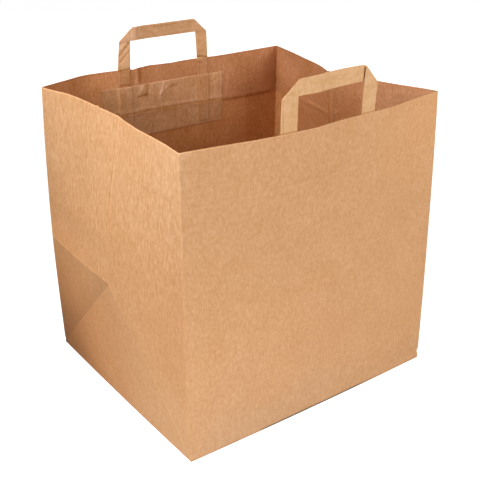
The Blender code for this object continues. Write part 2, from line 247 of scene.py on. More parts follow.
# How rough and how glossy the paper is, and how strong and how deep its tooth.
PAPER_ROUGHNESS = 0.78
PAPER_GLOSS = 0.25
TOOTH_STRENGTH = 0.5
TOOTH_DEPTH = 0.25 * MM

# The camera, found by fitting the photograph's corners.
CAMERA_PLACE = millimetres((-515.2, -715.8, 555.1))
CAMERA_AZIMUTH = math.radians(-35.914)
CAMERA_ELEVATION = math.radians(24.936)
CAMERA_ROLL = math.radians(-0.378)
CAMERA_LENS = 64.33

# The pale floor: its half width, how much light it sends back, and how much whiter than that it is shown.
FLOOR_REACH = 12
FLOOR_TONE = 0.35
FLOOR_GLOW = 0.96
FLOOR_ROUGHNESS = 0.9
# The white room: the light that it gives, against the 1 that the camera sees.
ROOM_LIGHT = 0.053
# Soft lights, as (name, place, point aimed at, size, power, spread in degrees).
MIDDLE = (0, 0, 0.16)
SOFTBOXES = (
    ("left", (-0.75, 0, 0.95), MIDDLE, 0.6, 5.2, 180),
    ("left_top", (-0.5, 0.1, 0.8), (-0.16, 0, 0.3), 0.3, 2.4, 180),
    ("left_front", (-0.55, -0.15, 0.35), (-0.16, -0.12, 0.16), 0.3, 0.7, 180),
    ("low_corner", (-1.1, -0.9, 0.35), (-0.16, -0.13, -0.02), 0.3, 0.15, 20),
    ("front", (0.1, -2.3, 0.7), MIDDLE, 1.2, 34.5, 180),
    ("front_right", (0.5, -1.0, 0.62), (0.12, -0.14, 0.26), 0.6, 3, 180),
    ("inside", (-1.1, -0.3, 1.3), (0.16, -0.1, 0.3), 0.3, 0.095, 15),
    ("back", (0.9, 1.9, 0.8), MIDDLE, 1.2, 13, 180),
)


def smooth_line(points, share):
    """A smooth line through the points that never swings past them, at an array of places."""
    at = np.array([point[0] for point in points], float)
    value = np.array([point[1] for point in points], float)
    slope = np.diff(value) / np.diff(at)
    tangent = np.zeros(len(at))
    tangent[0], tangent[-1] = slope[0], slope[-1]
    before, after = slope[:-1], slope[1:]
    same_way = before * after > 0
    tangent[1:-1][same_way] = 2 * before[same_way] * after[same_way] / (before + after)[same_way]
    share = np.clip(np.asarray(share, float), at[0], at[-1])
    i = np.clip(np.searchsorted(at, share) - 1, 0, len(at) - 2)
    run = at[i + 1] - at[i]
    s = (share - at[i]) / run
    start = (1 + 2 * s) * (1 - s) ** 2 * value[i] + s * (1 - s) ** 2 * run * tangent[i]
    end = s * s * (3 - 2 * s) * value[i + 1] - s * s * (1 - s) * run * tangent[i + 1]
    return start + end


def straight_line(points, at):
    return np.interp(at, [point[0] for point in points], [point[1] for point in points])


def undulation(u, v, size, seed):
    """Smooth random swells between -1 and 1, with features of about the given size."""
    lattice = np.random.default_rng(seed).uniform(-1, 1, (64, 64))
    u, v = np.asarray(u) / size + 32, np.asarray(v) / size + 32
    i, j = np.floor(u).astype(int), np.floor(v).astype(int)
    s, t = u - i, v - j
    s, t = s * s * (3 - 2 * s), t * t * (3 - 2 * t)
    i, j = i % 63, j % 63
    low = lattice[i, j] * (1 - s) + lattice[i + 1, j] * s
    high = lattice[i, j + 1] * (1 - s) + lattice[i + 1, j + 1] * s
    return low * (1 - t) + high * t


def crumple(kind, u, v, seed=0):
    """How far a sheet's crumples stand out, from the layers of its kind."""
    return sum(height * MM * undulation(u, v, size * MM, first_seed + seed)
               for height, size, first_seed in CRUMPLES[kind])


def ridge(distance, half_width):
    """1 on a line, fading smoothly to 0 on both sides."""
    return np.exp(-(distance / half_width) ** 2)


def bumps(table, along):
    """The bumps of a table of (place, half width, height) at places along a wall."""
    return sum(height * ridge(along - at, half_width) for at, half_width, height in table)


def marks(lines, x, z):
    """The grooves and ridges at points of a wall."""
    x, z = np.asarray(x, float), np.asarray(z, float)
    out = np.zeros_like(x)
    for start, end, half_width, height in lines:
        a, b = np.array(start), np.array(end)
        run = b - a
        share = np.clip(((x - a[0]) * run[0] + (z - a[1]) * run[1]) / (run @ run), 0, 1)
        gap = np.hypot(x - a[0] - share * run[0], z - a[1] - share * run[1])
        out += height * ridge(gap, half_width)
    return out


def fade(value, low, high):
    """0 below low, 1 above high, smooth between."""
    s = np.clip((value - low) / (high - low), 0, 1)
    return s * s * (3 - 2 * s)


def share_of(value, low, high):
    """0 below low, 1 above high, straight between, for one number."""
    return min(max((value - low) / (high - low), 0), 1)


def rise(z):
    return np.clip((z - BASE) / (HEIGHT - BASE), 0, 1)


def end_wall_bulge(wall, x, z):
    """Outward distance of the front or rear wall."""
    bulge = smooth_line(BULGES[wall], x / WIDTH + 0.5) * rise(z) ** BULGE_POWER
    if wall == "rear":
        bulge = bulge + REAR_FOLD_OUT * straight_line(((BASE, 0), (APEX_HEIGHT, 1), (HEIGHT, 0)), z)
    return bulge


def across_half(y, centre):
    """Which points of a side wall lie behind its centre, and each one's share of the way in from its fold."""
    rear = y > centre
    half = DEPTH / 2
    return rear, np.where(rear, (half - y) / (half - centre), (half + y) / (half + centre))


def side_wall_bulge(wall, y, z):
    """Outward distance of a side wall: flat facets out to the apex below, the gusset tucked in above."""
    rear, across = across_half(y, straight_line(GUSSET_LINES[wall], z))
    up = np.clip((z - BASE) / (APEX_HEIGHT - BASE), 0, 1)
    steep, turned = up, across
    if wall == "left":
        forward = fade(DEPTH / 2 - y, 0, DEPTH)
        steep = (1 - (1 - up) ** REAR_SWELL_POWER) * (1 - forward) + up ** FRONT_SWELL_POWER * forward
        turned = np.where(rear, 1 - (1 - np.clip(across, 0, 1)) ** REAR_SWELL_POWER, across)
    edge = np.where(y > 0, REAR_FOLD_OUT, 0)
    facets = BELLY * np.minimum(steep, turned) + edge * np.maximum(up - across, 0)
    facets = facets * straight_line(((APEX_HEIGHT, 1), (HEIGHT, 0)), z)
    front_tuck, rear_tuck = (smooth_line(line, across) for line in TUCKS[wall])
    drawn_in = np.maximum(0, (np.minimum(z, HEIGHT) - HEIGHT + TUCK_DROP) / TUCK_DROP)
    from_corner = DEPTH / 2 - np.abs(y)
    return facets - np.where(rear, rear_tuck, front_tuck) * drawn_in * np.minimum(1, from_corner / TUCK_START)


def rim_crease_height(wall, along):
    start, end = RIM_CREASE[wall]
    return start + (end - start) * (along / WALLS[wall][2] + 0.5)


def lower_bow(wall, along):
    return LOWER_EDGE_BOW[wall] * np.maximum(1 - (2 * along / WALLS[wall][2]) ** 2, 0)


def relief(wall, along, z):
    """Creases and gentle swells of the paper, outward."""
    axis, _, length = WALLS[wall]
    from_corner = length / 2 - np.abs(along)
    calm = fade(from_corner, 0, CALM_EDGE) * fade(HEIGHT - z, *CALM_RIM) * fade(z, 0, CALM_EDGE)
    out = crumple("wall", along, z, list(WALLS).index(wall)) * calm
    out += lower_bow(wall, along) * (1 - fade(z, 0, LOWER_BOW_REACH))
    from_crease = z - rim_crease_height(wall, along)
    for depth, half_width in zip(RIM_CREASE_DEPTH[wall], RIM_CREASE_HALF_WIDTHS):
        out -= depth * ridge(from_crease, half_width) * fade(from_corner, 0, RIM_CREASE_END)
    out += bumps(RIM_WAVES[wall], along) * fade(z, HEIGHT - RIM_WAVE_REACH, HEIGHT)
    if axis == 0:
        gusset = ridge(along - straight_line(GUSSET_LINES[wall], z), GUSSET_HALF_WIDTH)
        out -= GUSSET_DEPTH * gusset * fade(z, APEX_HEIGHT, APEX_HEIGHT + GUSSET_START)
    seen_from = 1 if wall == "front" else -1
    return out + seen_from * marks(WALL_MARKS[wall], along, z)


def soften_corner(distance, radius):
    """A point's distance along and off the wall once the fold beside it is rounded."""
    turn = np.clip(1 - distance / radius, 0, 1) * math.pi / 4
    near = distance < radius
    along = np.where(near, radius - radius * np.sin(turn), distance)
    return along, np.where(near, radius * (1 - np.cos(turn)), 0)


def wall_points(x, y):
    """For each wall, which points of the square box lie on it, and their places along it."""
    found = {}
    for wall, (axis, way, _) in WALLS.items():
        facing, along, half = (y, x, DEPTH / 2) if axis else (x, y, WIDTH / 2)
        found[wall] = (np.isclose(way * facing, half, atol=CLOSE), along)
    return found


def round_folds(moved, walls):
    """Rounds the upright folds of the square box."""
    x, y, z = moved.T.copy()
    on_end = walls["front"][0] | walls["rear"][0]
    side_only = (walls["left"][0] | walls["right"][0]) & ~on_end
    radius = straight_line(FOLD_RADIUS, np.minimum(z, HEIGHT)) * np.where((x < 0) & (y < 0), 1, SHARPER)
    for mask, axis, half, sign in ((on_end, 0, WIDTH / 2, np.sign(y)), (side_only, 1, DEPTH / 2, np.sign(x))):
        kept, inward = soften_corner(half - np.abs(moved[:, axis]), radius)
        moved[:, axis] = np.where(mask, np.sign(moved[:, axis]) * (half - kept), moved[:, axis])
        moved[:, 1 - axis] -= np.where(mask, sign * inward, 0)


def move_corners(moved, x, y, z):
    """Draws the upright edges in and out, and dents the lower corners."""
    lift, halfway = rise(z), 4 * rise(z) * (1 - rise(z))
    for (side_x, side_y), (mouth, bow) in CORNERS.items():
        weight = (0.5 + side_x * x / WIDTH) * (0.5 + side_y * y / DEPTH)
        moved[:, :2] += np.outer(weight * lift, mouth) + np.outer(weight * halfway, bow)
    for (side_x, side_y), (at, half_height, reach, push) in CORNER_NIPS.items():
        corner = np.maximum(WIDTH / 2 - side_x * x, 0) + np.maximum(DEPTH / 2 - side_y * y, 0)
        moved[:, :2] += np.outer(ridge(z - at, half_height) * ridge(corner, reach), push)


def bag_points(box):
    """Where points of the square box come to lie on the opened bag."""
    x, y, z = np.array(box, float).reshape(-1, 3).T
    walls = wall_points(x, y)
    moved = np.stack([x, y, z], 1)
    round_folds(moved, walls)
    move_corners(moved, x, y, z)
    height = np.minimum(z, HEIGHT)
    for wall, (on_wall, along) in walls.items():
        axis, way, _ = WALLS[wall]
        bulge = end_wall_bulge if axis else side_wall_bulge
        out = bulge(wall, along, height) + relief(wall, along, height)
        moved[:, axis] += np.where(on_wall, way * out, 0)
        at_rim = np.where(on_wall & (z <= HEIGHT), fade(z, HEIGHT - RIM_DIP_REACH, HEIGHT), 0)
        moved[:, 2] -= at_rim * bumps(RIM_DIPS[wall], along)
    return moved


def places(runs):
    """Places along a line, given as runs of (from, to, spacing) in mm."""
    made = [np.linspace(low, high, max(1, round((high - low) / gap)), endpoint=False)
            for low, high, gap in runs]
    return np.append(np.concatenate(made), runs[-1][1]) * MM


def stations(length, runs):
    """Places along a wall, close together beside the upright folds."""
    ends = np.array(CORNER_STEPS[:-1]) * MM
    return np.concatenate([-length / 2 + ends, places(runs), (length / 2 - ends)[::-1]])


def new_object(name, data):
    """An object of the scene that holds a mesh, a light or a camera."""
    made = bpy.data.objects.new(name, data)
    bpy.context.scene.collection.objects.link(made)
    return made


def mesh_object(name, mesh):
    """A bmesh as an object of the scene."""
    data = bpy.data.meshes.new(name)
    mesh.to_mesh(data)
    mesh.free()
    return new_object(name, data)


def new_piece(name, mesh, materials, node, smooth=True, fields=None):
    """Turns a bmesh into an object that rides on the bag. Fields are numbers kept at its points."""
    piece = mesh_object(name, mesh)
    for material in materials:
        piece.data.materials.append(material)
    for face in piece.data.polygons:
        face.use_smooth = smooth
    for label, values in (fields or {}).items():
        field = piece.data.attributes.new(label, "FLOAT", "POINT")
        field.data.foreach_set("value", np.asarray(values, np.float32))
    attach(piece, "root")
    if node:
        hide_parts(node)
    return piece


def thicken(piece, thickness, offset):
    """Gives a sheet its thickness, outward with an offset of 1 and inward with -1."""
    solid = piece.modifiers.new("paper", "SOLIDIFY")
    solid.thickness = thickness
    solid.offset = offset
    return solid


def crease_fields(flat):
    """Distances from the bag's creases at points of the square box; FAR where a crease doesn't run."""
    x, y, z = flat.T
    walls = wall_points(x, y)
    on_front, on_rear, on_left, on_right = (on_wall for on_wall, along in walls.values())
    on_side, on_end = on_left | on_right, on_front | on_rear
    on_base = (z < BASE + CLOSE) & ~on_side & ~on_end
    crease = np.full(len(x), FAR)
    for wall, (on_wall, along) in walls.items():
        crease[on_wall] = (z - rim_crease_height(wall, along))[on_wall]
    left_line, right_line = (straight_line(GUSSET_LINES[wall], z) for wall in ("left", "right"))
    centre = np.where(x < 0, left_line, right_line)
    rear, across = across_half(y, centre)
    up = (z - BASE) / (APEX_HEIGHT - BASE)
    # These fields place the painted light and shade of the paper's marks along its creases, folds, rim and
    # foot.
    return {
        "rim": np.where(on_base, FAR, HEIGHT - z),
        "rim_crease": crease,
        "gusset": np.where(on_side, y - centre, FAR),
        "ridge": np.where(on_side, z - APEX_HEIGHT, FAR),
        "diagonal": np.where(on_side, (up - across) * APEX_HEIGHT / math.sqrt(2), FAR),
        "base_fold": np.where(on_base, (np.abs(x) - np.abs(y) - (WIDTH - DEPTH) / 2) / math.sqrt(2), FAR),
        "low_corner": np.hypot(y - DEPTH / 2, z) + np.where(on_left, 0, FAR),
        # The rear wall's grooves, whose heights also paint shade into the grooves and highlight onto the
        # ridges.
        "groove": np.where(on_rear, marks(WALL_MARKS["rear"], x, z), 0),
        "foot": np.where(on_end | on_side, z - BASE, FAR),
        "fold": np.where(on_left, y + DEPTH / 2, np.where(on_front, -x - WIDTH / 2, FAR)),
    }


def box_grid():
    """The square box that the bag is bent from: four walls and the base as one fine grid."""
    xs, ys = stations(WIDTH, END_WALL_COLUMNS), stations(DEPTH, SIDE_WALL_COLUMNS)
    rows = np.concatenate([np.array(CORNER_STEPS[:-1]) * MM, places(ROWS)])
    rows = BASE + rows * (HEIGHT - BASE) / HEIGHT
    last_x, last_y = len(xs) - 1, len(ys) - 1
    ring = [(i, 0) for i in range(last_x)] + [(last_x, j) for j in range(last_y)]
    ring += [(i, last_y) for i in range(last_x, 0, -1)] + [(0, j) for j in range(last_y, 0, -1)]
    mesh = bmesh.new()
    levels = [[mesh.verts.new((xs[i], ys[j], z)) for i, j in ring] for z in rows]
    for lower, upper in zip(levels[:-1], levels[1:]):
        for i in range(len(ring)):
            j = (i + 1) % len(ring)
            mesh.faces.new((lower[i], lower[j], upper[j], upper[i]))
    base = dict(zip(ring, levels[0]))
    for j in range(1, last_y):
        for i in range(1, last_x):
            base[i, j] = mesh.verts.new((xs[i], ys[j], BASE))
    for j in range(last_y):
        for i in range(last_x):
            mesh.faces.new((base[i, j], base[i, j + 1], base[i + 1, j + 1], base[i + 1, j]))
    return mesh


def bag_sheet(outside, inside):
    """The folded sheet, bent to shape and given its thickness."""
    mesh = box_grid()
    flat = np.array([v.co for v in mesh.verts])
    bent = bag_points(flat)
    from_wall = np.minimum(WIDTH / 2 - np.abs(flat[:, 0]), DEPTH / 2 - np.abs(flat[:, 1]))
    above = flat[:, 2] - BASE
    along, inward = soften_corner(above, BASE_FOLD_RADIUS)
    on_wall = from_wall < CLOSE
    _, lifted = soften_corner(from_wall, BASE_FOLD_RADIUS)
    centre = bent[:, :2] / np.maximum(np.abs(bent[:, :2]).max(1, keepdims=True), CLOSE)
    bent[:, 2] += np.where(on_wall, along, lifted) - above
    bent[on_wall, :2] -= (centre * inward[:, None])[on_wall]
    for vert, place in zip(mesh.verts, bent):
        vert.co = place
    sheet = new_piece("bag_sheet", mesh, (outside, inside), "bag_body",
                      fields=crease_fields(flat))
    thicken(sheet, PAPER, -1).material_offset = 1


def base_flap(name, wall, low, material):
    """The flap folded in below a wall, its ends mitred where the side walls fold in."""
    side = WALLS[wall][1]
    outer, inner = side * (DEPTH / 2 - FLAP_CLEARANCE), -side * FLAP_LAP
    half = WIDTH / 2 - FLAP_CLEARANCE
    reach = abs(outer - inner)
    along = np.linspace(-half, half, FLAP_EDGE_POINTS)
    corners = [(x, outer + side * out) for x, out in zip(along, lower_bow(wall, along))]
    corners += [(half - reach, inner), (-half + reach, inner)]
    if side > 0:
        corners.reverse()
    mesh = bmesh.new()
    bottom = mesh.faces.new([mesh.verts.new((x, y, low)) for x, y in corners])
    made = bmesh.ops.extrude_face_region(mesh, geom=[bottom])
    top = [item for item in made["geom"] if isinstance(item, bmesh.types.BMVert)]
    bmesh.ops.translate(mesh, vec=(0, 0, FLAP), verts=top)
    bmesh.ops.recalc_face_normals(mesh, faces=mesh.faces)
    under = min(mesh.faces, key=lambda face: face.calc_center_median().z)
    outline = set(under.verts)
    bmesh.ops.inset_region(mesh, faces=[under], thickness=FLAP_RIM, depth=0)
    # Foot and edge place the painted shade along the flap's outer edge and round its outline.
    foot = [0 if side * vert.co.y > DEPTH / 2 - 1 * MM else FAR for vert in mesh.verts]
    edge = [0 if vert in outline else FLAP_RIM for vert in mesh.verts]
    new_piece(name, mesh, (material,), None, smooth=False, fields={"foot": foot, "edge": edge})


def flat_shape(low, high):
    """A fine flat grid in X and Z."""
    mesh = bmesh.new()
    size = Vector(high) - Vector(low)
    cells = [max(1, round(length / SHEET_GRID)) for length in size]
    bmesh.ops.create_grid(mesh, x_segments=cells[0], y_segments=cells[1], size=0.5)
    for vert in mesh.verts:
        u, v = vert.co.x + 0.5, vert.co.y + 0.5
        vert.co = (low[0] + u * size.x, 0, low[1] + v * size.y)
    return mesh


def cut_flat(mesh, point, direction, clear):
    """Cuts a flat mesh along a line in X and Z, and where asked clears what lies beyond it."""
    everything = list(mesh.verts) + list(mesh.edges) + list(mesh.faces)
    bmesh.ops.bisect_plane(mesh, geom=everything, dist=CLOSE, plane_co=(point[0], 0, point[1]),
                           plane_no=(direction[0], 0, direction[1]), clear_outer=clear)


def lay_on_wall(mesh, wall, depth_of):
    """Bends a flat mesh onto the inside of the front or rear wall."""
    side = WALLS[wall][1]
    flat = np.array([v.co for v in mesh.verts])
    x, z = flat[:, 0], flat[:, 2]
    bent = bag_points(np.stack([x, np.full(len(x), side * DEPTH / 2), z], 1))
    bent[:, 1] -= side * depth_of(x, z)
    for vert, place in zip(mesh.verts, bent):
        vert.co = place
    bmesh.ops.recalc_face_normals(mesh, faces=mesh.faces)
    if sum(face.normal.y for face in mesh.faces) * side > 0:
        bmesh.ops.reverse_faces(mesh, faces=mesh.faces)


def above_shoulder(z):
    """How far up the bar a height is, from 0 at its lower edge."""
    return max(z - SHOULDER, 0) / (HANDLE_TOP - SHOULDER)


def straighten(mesh, rim, top):
    """Moves points along X so that the legs' sides run from their places at the rim to those at the bar."""
    for vert in mesh.verts:
        share = share_of(vert.co.z, HEIGHT, SHOULDER)
        vert.co.x = np.interp(vert.co.x, rim, rim + (top - rim) * share)


def cut_mitres(mesh, wall, top, corners):
    """Cuts the slanting folds of the bar's ends, from the outer shoulders to the upper corners."""
    for outer, corner, low, way in zip((top[0], top[3]), corners, OUTER_SHOULDERS[wall], (-1, 1)):
        cut_flat(mesh, (outer, low), (way * (HANDLE_TOP - low), abs(outer - corner)), True)


def strip_shape(wall, side, low, flare=0):
    """A flat leg (side 0 or 2) or the bar (side None), mitred at the bar's ends."""
    rim, top, corners = (np.array(row) for row in HANDLES[wall])
    left, right = (rim[0], rim[3]) if side is None else (rim[side], rim[side + 1])
    mesh = flat_shape((left, low), (right, HANDLE_TOP))
    straighten(mesh, rim, top)
    for vert in mesh.verts if flare else ():
        vert.co.x += flare * above_shoulder(vert.co.z) * (top[3] - vert.co.x) / (top[3] - top[2])
    cut_mitres(mesh, wall, top, corners)
    return mesh


def rear_leg_depth(x, z):
    """How far a rear leg lies off the wall: free to buckle above the rim, never into the paper below it."""
    patch_top = PATCHES["rear"][3]
    wrinkles = marks(REAR_LEG_MARKS, x, z) * fade(z, patch_top, patch_top + 3 * MM)
    wrinkles += crumple("rear leg", x, z)
    least = np.where(z > FREE_HEIGHT, LEAST_WHEN_FREE, LEAST_OFF_WALL)
    return np.maximum(LEG_OFF_WALL + wrinkles, least)


def rear_handle_parts():
    """Two legs against the wall and the bar folded over them on the inside, mitred at both corners."""
    bar = strip_shape("rear", None, SHOULDER)
    across = [HANDLE_TOP - vert.co.z for vert in bar.verts]
    lay_on_wall(bar, "rear", lambda x, z: BAR_OFF_WALL + crumple("rear bar", x, z))
    parts = [(bar, across, [0] * len(across))]
    for side in (0, 2):
        leg = strip_shape("rear", side, LEG_BOTTOM)
        across = [vert.co.x - HANDLES["rear"][0][side] for vert in leg.verts]
        x, z = ([vert.co[axis] for vert in leg.verts] for axis in (0, 2))
        # The groove field paints shade into the legs' grooves and creases and highlight onto their ridges.
        groove = marks(REAR_LEG_MARKS + REAR_LEG_SHADE_LINES, x, z)
        lay_on_wall(leg, "rear", rear_leg_depth)
        parts.append((leg, across, list(groove)))
    return parts


def front_hook():
    """The front handle's left leg, running on into the bar."""
    rim, top, corners = (np.array(row) for row in HANDLES["front"])
    hook = flat_shape((rim[0], LEG_BOTTOM), (rim[3], HANDLE_TOP))
    cut_flat(hook, (rim[1], SHOULDER), (1, 0), False)
    cut_flat(hook, (rim[1], SHOULDER), (0, 1), False)
    middles = {face: face.calc_center_median() for face in hook.faces}
    spare = [face for face, at in middles.items() if at.x > rim[1] and at.z < SHOULDER]
    bmesh.ops.delete(hook, geom=spare, context="FACES")
    straighten(hook, rim, top)
    cut_mitres(hook, "front", top, corners)
    across = [min(vert.co.x - rim[0], HANDLE_TOP - vert.co.z) for vert in hook.verts]
    for vert in hook.verts:
        share = share_of(vert.co.x, corners[0], corners[1])
        vert.co.z += FRONT_BAR_ARCH * 4 * share * (1 - share) * above_shoulder(vert.co.z)
    lay_on_wall(hook, "front", lambda x, z: LEG_OFF_WALL + crumple("front hook", x, z)
                + (BAR_OFF_WALL - LEG_OFF_WALL) * fade(z, HEIGHT, SHOULDER))
    return hook, across, [0] * len(across)


def front_handle_parts():
    """The hook, and the right leg folded over the bar's end on the outside."""
    leg = strip_shape("front", 2, LEG_BOTTOM, FRONT_LEG_FLARE)
    across = [vert.co.x - HANDLES["front"][0][2] for vert in leg.verts]
    lay_on_wall(leg, "front", lambda x, z: LEG_OFF_WALL + crumple("front leg", x, z)
                - FRONT_LEG_LEAN * fade(z, HEIGHT, HANDLE_TOP))
    return [front_hook(), (leg, across, [0] * len(across))]


def handle(wall, material):
    """A handle of folded paper strip, several layers thick, with softened edges."""
    joined = bmesh.new()
    across, groove = [], []
    for part, part_across, part_groove in front_handle_parts() if wall == "front" else rear_handle_parts():
        data = bpy.data.meshes.new("strip")
        part.to_mesh(data)
        joined.from_mesh(data)
        part.free()
        bpy.data.meshes.remove(data)
        across += part_across
        groove += part_groove
    piece = new_piece(f"{wall}_handle_strip", joined, (material,), f"{wall}_handle",
                      fields={"across": across, "groove": groove})
    thicken(piece, STRIP, 1)
    bevel = piece.modifiers.new("soft edges", "BEVEL")
    bevel.width = STRIP_BEVEL
    bevel.segments = 2
    bevel.limit_method = "ANGLE"
    bevel.angle_limit = math.radians(50)


def patch_depth(wall, x, z):
    """How far the patch lies off the wall: close to it, and lifted over the handle's legs."""
    sides = HANDLES[wall][0]
    near, far = 0.4 * MM, 2.4 * MM
    lift = np.zeros_like(x)
    for low, high in (sides[:2], sides[2:]):
        inside = np.minimum(fade(x, low - far, low - near), 1 - fade(x, high + near, high + far))
        lift = np.maximum(lift, inside * fade(z, LEG_BOTTOM - far, LEG_BOTTOM - near / 2))
    uneven = crumple("patch", x, z) + marks(REAR_PATCH_MARKS if wall == "rear" else (), x, z)
    depth = PATCH_OFF_WALL + PATCH_LIFT * lift + uneven * (1 - FLATTER * lift)
    return np.maximum(depth, LEAST_OFF_WALL + LEAST_PATCH_LIFT * lift)


def patch(wall, material):
    """The sheet of paper glued over the legs."""
    left, right, bottom, top = PATCHES[wall]
    mesh = flat_shape((left, bottom), (right, top))
    flat = np.array([v.co for v in mesh.verts])
    x, z = flat[:, 0], flat[:, 2]
    edge = np.minimum(np.minimum(x - left, right - x), np.minimum(z - bottom, top - z))
    lay_on_wall(mesh, wall, lambda x, z: patch_depth(wall, x, z))
    # The groove field paints shade into the patch's creases and highlight onto their ridges.
    groove = marks(REAR_PATCH_MARKS + REAR_PATCH_LIGHT_AND_SHADE_LINES, x, z) if wall == "rear" else 0 * x
    piece = new_piece(f"{wall}_patch_sheet", mesh, (material,), f"{wall}_handle_patch",
                      fields={"edge": edge, "groove": groove})
    thicken(piece, PATCH_PAPER, 1)


# What the papers are painted with. A line lies where a distance is so many mm, a slope runs from one place
# in mm to another, and a grain is a noise carried to a range. A plain tuple of them is their product.
Line = namedtuple("Line", "distance at half_width amount")
Slope = namedtuple("Slope", "value low high start end")
Soft = namedtuple("Soft", Slope._fields)
Grain = namedtuple("Grain", "scale detail roughness low high start end", defaults=(NOISE_LOW, NOISE_HIGH))

# Parts of the left wall, and the insides of the rear and right walls.
LEFT = Soft("x", 1, 0, -130, -110)
BEHIND_FOLD = Slope("y", 0, 1, -139.5, -137)
REAR_HALF = Soft("y", 0, 1, -9, -5)
FRONT_HALF = Soft("y", 1, 0, -9, -5)
LOW_FRONT = Soft("y", 1, 0, -85, -50)
BELOW_RIDGE = Soft("ridge", 1, 0, -1, 1)
ABOVE_RIDGE = Soft("ridge", 0, 1, -1, 1)
NEAR_APEX = Soft("ridge", 0, 1, -26, -9)
UPPER_GUSSET = Soft("ridge", 0, 1, 20, 110)
UPPER_WALL = Soft("z", 0.3, 1, 150, 260)
REAR_FACET = (LEFT, REAR_HALF, BELOW_RIDGE, Soft("diagonal", 0, 1, -1, 1))
REAR_INSIDE = Soft("y", 0, 1, 120, 130)
REAR_FACE = (REAR_INSIDE, Slope("x", 1, 0, 152, 159))
RIGHT_INSIDE = Soft("x", 0, 1, 110, 120)
RIGHT_GUSSET = (RIGHT_INSIDE, ABOVE_RIDGE)
# Where the handle lies in the bag, and where a crease's light line shows, partly worn paper and partly
# painted highlight.
IN_BAG = Soft("z", 1, 0, 317, 320.5)
WORN_AND_LIT = Grain((90, 90, 90), 2, 0.5, 0.3, 1.3, 0.35, 0.65)

# Marks are added to a tone of 1. The painted shade along the foot of the walls, where they meet the floor, is
# deepest under the middle of the front wall.
FOOT_MARKS = (
    Line("foot", 0, 0.9, -0.14),
    (Line("foot", 0, 1.3, -0.7), Slope("x", 0, 1, -76, -72), Slope("x", 1, 0, 60, 95),
     Slope("y", 1, 0, -136, -134)),
)
# Painted shade along the outline of each folded flap under the base.
BASE_MARKS = FOOT_MARKS + (Line("edge", 0, 1.0, -0.16),)
# Crease lines of the bag's outer face, painted light and dark as their highlight and shade, the light lines
# partly also worn paper; a painted highlight on the rim's cut edge, partly its paler fibres; painted
# highlight and shade along the front left fold; painted shade on the left wall's rear facet and round its
# rear lower corner, and painted light just above its ridge at the rear.
OUTER_MARKS = FOOT_MARKS + (
    Line("rim", 0, 1.0, 0.06),
    (Line("rim", 0, 1.1, 0.16), LEFT),
    (Line("low_corner", 2, 4, -0.5), LEFT),
    (Line("fold", 0.6, 1.0, 0.07), UPPER_WALL),
    (Line("fold", -2.2, 1.6, -0.04), UPPER_WALL),
    (Line("fold", 0.3, 2.2, -0.08), Slope("z", 1, 0, 110, 240)),
    Line("rim_crease", 1.1, 1.1, -0.035),
    (Line("rim_crease", -1.1, 1.3, 0.035), WORN_AND_LIT),
    (Line("gusset", -0.2, 1.0, -0.13), LEFT, UPPER_GUSSET),
    (Line("gusset", -3.6, 2.2, 0.09), LEFT, UPPER_GUSSET),
    (Line("ridge", 1.0, 1.0, 0.13), LEFT, REAR_HALF, WORN_AND_LIT),
    (Line("diagonal", 0, 1.3, 0.05), LEFT, FRONT_HALF, BELOW_RIDGE, WORN_AND_LIT),
    (Line("diagonal", 1.5, 1.5, 0.10), LEFT, BELOW_RIDGE, LOW_FRONT),
    (Line("diagonal", 0, 1.1, 0.16), LEFT, FRONT_HALF, BELOW_RIDGE, NEAR_APEX),
    (Line("diagonal", -1.4, 1.7, -0.06), LEFT, BELOW_RIDGE, LOW_FRONT),
    (REAR_FACET, Slope("low_corner", -0.09, -0.045, 20, 150)),
    (REAR_FACET, Slope("diagonal", -0.12, 0, 0, 32), Soft("low_corner", 0, 1, 35, 95)),
    (LEFT, REAR_HALF, ABOVE_RIDGE, Soft("ridge", 1, 0, 5, 50), Slope("y", 0.06, 0.17, 10, 90)),
    (LEFT, BELOW_RIDGE, Soft("low_corner", -0.42, 0, 0, 128)),
)
# Painted light and shade of its inner face: painted shade along the rim, shade in the rear wall's grooves and
# highlight on their ridges, shade lower down on the right wall, a dark band and a light line along the rear
# wall's crease with painted light above it, shade towards the rear wall's left corner and between the
# handle's legs above the patch, a light line with dark sides along the right gusset, and shade along the
# base's folds.
INNER_MARKS = (
    Line("rim", 0, 1.2, -0.40),
    ("groove", 0.5 / MM),
    (RIGHT_INSIDE, Soft("z", -0.13, 0, 255, 305)),
    (Line("rim_crease", -0.6, 2.8, -0.36), REAR_FACE),
    (Line("rim_crease", 4.8, 2.4, 0.06), REAR_FACE),
    (REAR_INSIDE, Soft("rim_crease", 1, 0, -3, 0), Slope("x", 0.04, 0.2, 0, 80)),
    (REAR_INSIDE, Soft("x", -0.24, 0, -150, -50)),
    (Line("x", -90, 14, -0.09), REAR_INSIDE),
    (REAR_INSIDE, Slope("z", 0, -0.06, 296, 304), Slope("x", 0, 1, -75, -60), Slope("x", 1, 0, 45, 80)),
    (Line("gusset", 0, 1.9, 0.2), RIGHT_GUSSET),
    (Line("gusset", 6, 4, -0.08), RIGHT_GUSSET),
    (Line("gusset", -5, 3, -0.03), RIGHT_GUSSET),
    Line("base_fold", 0, 1.2, -0.10),
)
# The strip's own folded edges, a line beside each of its sides, painted as dark and light lines of shade and
# highlight.
STRIP_MARKS = (Line("across", 2.6, 0.6, -0.16), Line("across", 1.4, 0.6, 0.07),
               Line("across", 13.4, 0.6, -0.10))
# In front they show on the left leg alone, and a painted shadow lies where the legs come out from behind the
# wall.
FRONT_STRIP_MARKS = (Line("z", 320.6, 0.9, -0.34),)
FRONT_STRIP_MARKS += tuple((mark, Slope("x", 1, 0, -45, -43)) for mark in STRIP_MARKS)
